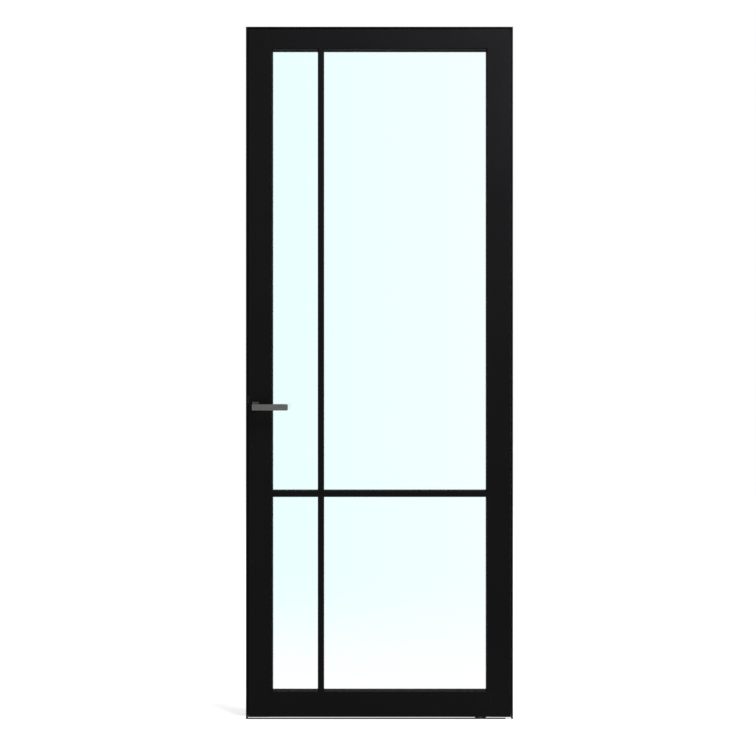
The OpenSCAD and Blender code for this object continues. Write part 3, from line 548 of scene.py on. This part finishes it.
# %% Gasket noses
NOSE_IN, NOSE_OUT, NOSE_SINK, NOSE_RISE = 0.0009, 0.002, 0.0001, 0.0014
NOSE_POINTS, CORNER_SHARE = 16, 0.004
pane_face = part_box("glass_pane")[1].y


def squared_off(wave):
    """sign(wave) * |wave| ** 0.7: a sine or cosine with fuller shoulders."""
    return np.sign(wave) * np.abs(wave) ** 0.7


def nose_ring(name, left, right, low, high, side):
    """Section u = mid + half * squared-off cos a inwards, v likewise with sin a in depth; a point is
    its corner plus u along both inward directions, and v away from the pane's middle."""
    a = np.linspace(0, 2 * np.pi, NOSE_POINTS, endpoint=False)
    u = (NOSE_IN - NOSE_OUT) / 2 + (NOSE_IN + NOSE_OUT) / 2 * squared_off(np.cos(a))
    v = pane_face + (NOSE_RISE - NOSE_SINK) / 2 + (NOSE_RISE + NOSE_SINK) / 2 * squared_off(np.sin(a))
    corners = np.array([[left, low], [right, low], [right, high], [left, high]])
    inward = np.array([[1, 1], [-1, 1], [-1, -1], [1, -1]])
    share = np.array([0.0, CORNER_SHARE, 1 - CORNER_SHARE])[None, :, None]
    path = (corners[:, None] * (1 - share) + np.roll(corners, -1, 0)[:, None] * share).reshape(-1, 2)
    turn = (inward[:, None] * (1 - share) + np.roll(inward, -1, 0)[:, None] * share).reshape(-1, 2)
    x = path[:, :1] + turn[:, :1] * u
    z = path[:, 1:] + turn[:, 1:] * u
    y = np.broadcast_to(side * v, x.shape)
    skin(name, np.stack([x, y, z], axis=-1), True, "leaf", "seal_rubber")


light_left, light_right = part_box("bead_left")[1].x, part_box("bead_right")[0].x
light_low, light_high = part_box("bead_bottom")[1].z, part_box("bead_top")[0].z
bar_left, bar_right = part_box("vertical_bar_front")[0].x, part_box("vertical_bar_front")[1].x
bar_low, bar_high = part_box("crossbar_left_front")[0].z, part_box("crossbar_left_front")[1].z
for side, face in ((-1, "front"), (1, "back")):
    for column, (left, right) in (("narrow", (light_left, bar_left)), ("wide", (bar_right, light_right))):
        for row, (low, high) in (("lower", (light_low, bar_low)), ("upper", (bar_high, light_high))):
            nose_ring(f"gasket_nose_{column}_{row}_{face}", left, right, low, high, side)

# %% [markdown]
# ## Bulb seals on the stop
# The leaf closes on a soft bulb that is clipped to the stop of the frame. A plain block
# would look like tape, so the section is a D: flat on the stop, round towards the leaf.

# %% Bulb seals
BULB_POINTS, BULB_STATIONS = 15, 60


def bulb_seal(node, along):
    """Half width * cos a across and depth * sin(a) ** 0.8 towards the leaf, for a from 0 to pi; the flat
    back joins the two ends. The section is carried along Z where along is 1, and along X where it is 0."""
    low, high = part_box(node)
    a = np.linspace(0, np.pi, BULB_POINTS)
    across = 1 - along
    half = (high[2 * across] - low[2 * across]) / 2
    mid = (high[2 * across] + low[2 * across]) / 2
    wide = mid + half * np.cos(a)
    deep = high.y - (high.y - low.y) * np.sin(a).clip(0) ** 0.8
    stations = np.linspace(low[2 * along], high[2 * along], BULB_STATIONS)
    run, section = np.meshgrid(stations, wide, indexing="ij")
    depth = np.broadcast_to(deep, run.shape)
    axes = (section, depth, run) if along else (run, depth, section)
    piece = skin(node + "_bulb", np.stack(axes, axis=-1), False, "frame", "seal_rubber")
    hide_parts(node)


bulb_seal("jamb_seal", 1)
bulb_seal("head_seal", 0)

# %% [markdown]
# ## Pile of the brush seals
# Strips of woven pile close the gaps at the pivot edge and over the top rail. Up close
# they are rows of tufts. Here one surface has a tip that rises and falls with each tuft.
# The top strip is cut in two, to leave room for the pivot between its lengths.

# %% Brush pile
TUFT, TUFT_STATIONS, PILE_POINTS, PIVOT_ROOM = 0.004, 4, 9, 0.014


def pile(name, node, body, low, high, along, out):
    """Height = full * (1 - 0.3 * w ** 2) * (0.87 + 0.13 * sin(2 pi s / tuft + 1.5 * sin(4 w))), for w
    from -1 to 1 across the strip and s along it; two base points close the section."""
    stations = int((high[along] - low[along]) / TUFT * TUFT_STATIONS)
    s = np.linspace(low[along], high[along], stations)[:, None]
    w = np.linspace(-1, 1, PILE_POINTS)[None, :]
    full = high[out] - low[out]
    tufts = 0.87 + 0.13 * np.sin(2 * np.pi * s / TUFT + 1.5 * np.sin(4 * w))
    height = full * (1 - 0.3 * w ** 2) * tufts
    height = np.concatenate([height, np.zeros((len(s), 2))], axis=1)
    across = np.broadcast_to(np.concatenate([w, [[1.0, -1.0]]], axis=1), height.shape)
    grid = np.empty(height.shape + (3,))
    grid[..., along] = s
    grid[..., out] = low[out] + height
    grid[..., 1] = (low[1] + high[1]) / 2 + across * (high[1] - low[1]) / 2
    piece = skin(name, grid, False, body, "brush_pile")
    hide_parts(node)


pile("edge_pile", "edge_brush", "leaf", *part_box("edge_brush"), 2, 0)
top_low, top_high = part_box("top_brush")
pivot_x = joints["leaf_swing"]["pos_m"][0]
long_end = Vector((pivot_x - PIVOT_ROOM, top_high.y, top_high.z))
short_start = Vector((pivot_x + PIVOT_ROOM, top_low.y, top_low.z))
pile("top_pile_long", "top_brush", "leaf", top_low, long_end, 0, 2)
pile("top_pile_short", "top_brush", "leaf", short_start, top_high, 0, 2)

# %% [markdown]
# ## Latch spring
# Behind the latch bolt sits a small compression spring, wound from round wire with its end
# turns laid close. When the lever draws the bolt back the real spring gets shorter; this
# piece is built once, to the size of the spring in the CAD model.

# %% Latch coil
WIRE, TURNS, TURN_POINTS, WIRE_POINTS = 0.00045, 10, 24, 10


def latch_coil(node):
    """Wire centre: turns * t times round a circle, at length * (t - 0.6 * sin(2 pi t) / (2 pi)) for t
    from 0 to 1, which lays the end turns close; the wire's own circle k is added along and outwards."""
    low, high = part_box(node)
    mid, length = (low + high) / 2, high.x - low.x
    t = np.linspace(0, 1, TURNS * TURN_POINTS + 1)[:, None]
    k = np.linspace(0, 2 * np.pi, WIRE_POINTS, endpoint=False)[None, :]
    pitch = t - 0.6 * np.sin(2 * np.pi * t) / (2 * np.pi)
    x = low.x + WIRE + (length - 2 * WIRE) * pitch + WIRE * np.sin(k)
    out = (high.z - low.z) / 2 - WIRE + WIRE * np.cos(k)
    y = mid.y + out * np.cos(2 * np.pi * TURNS * t)
    z = mid.z + out * np.sin(2 * np.pi * TURNS * t)
    piece = skin("latch_coil", np.stack([x, y, z], axis=-1), False, "leaf", "satin_steel")
    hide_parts(node)
    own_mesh(piece)


latch_coil("latch_spring")

# %% [markdown]
# ## Last measure
# The box from the CAD model and the box of everything shown are set side by side, and
# the print gives by how many millimetres the second grows past the first.

# %% Sizes and finish
both_boxes = {"cad": [list(v) for v in cad_box], "visual": [list(v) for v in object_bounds()]}
grown = np.subtract(both_boxes["visual"], both_boxes["cad"]) * 1000
print("grown by mm", grown.round(2).tolist())
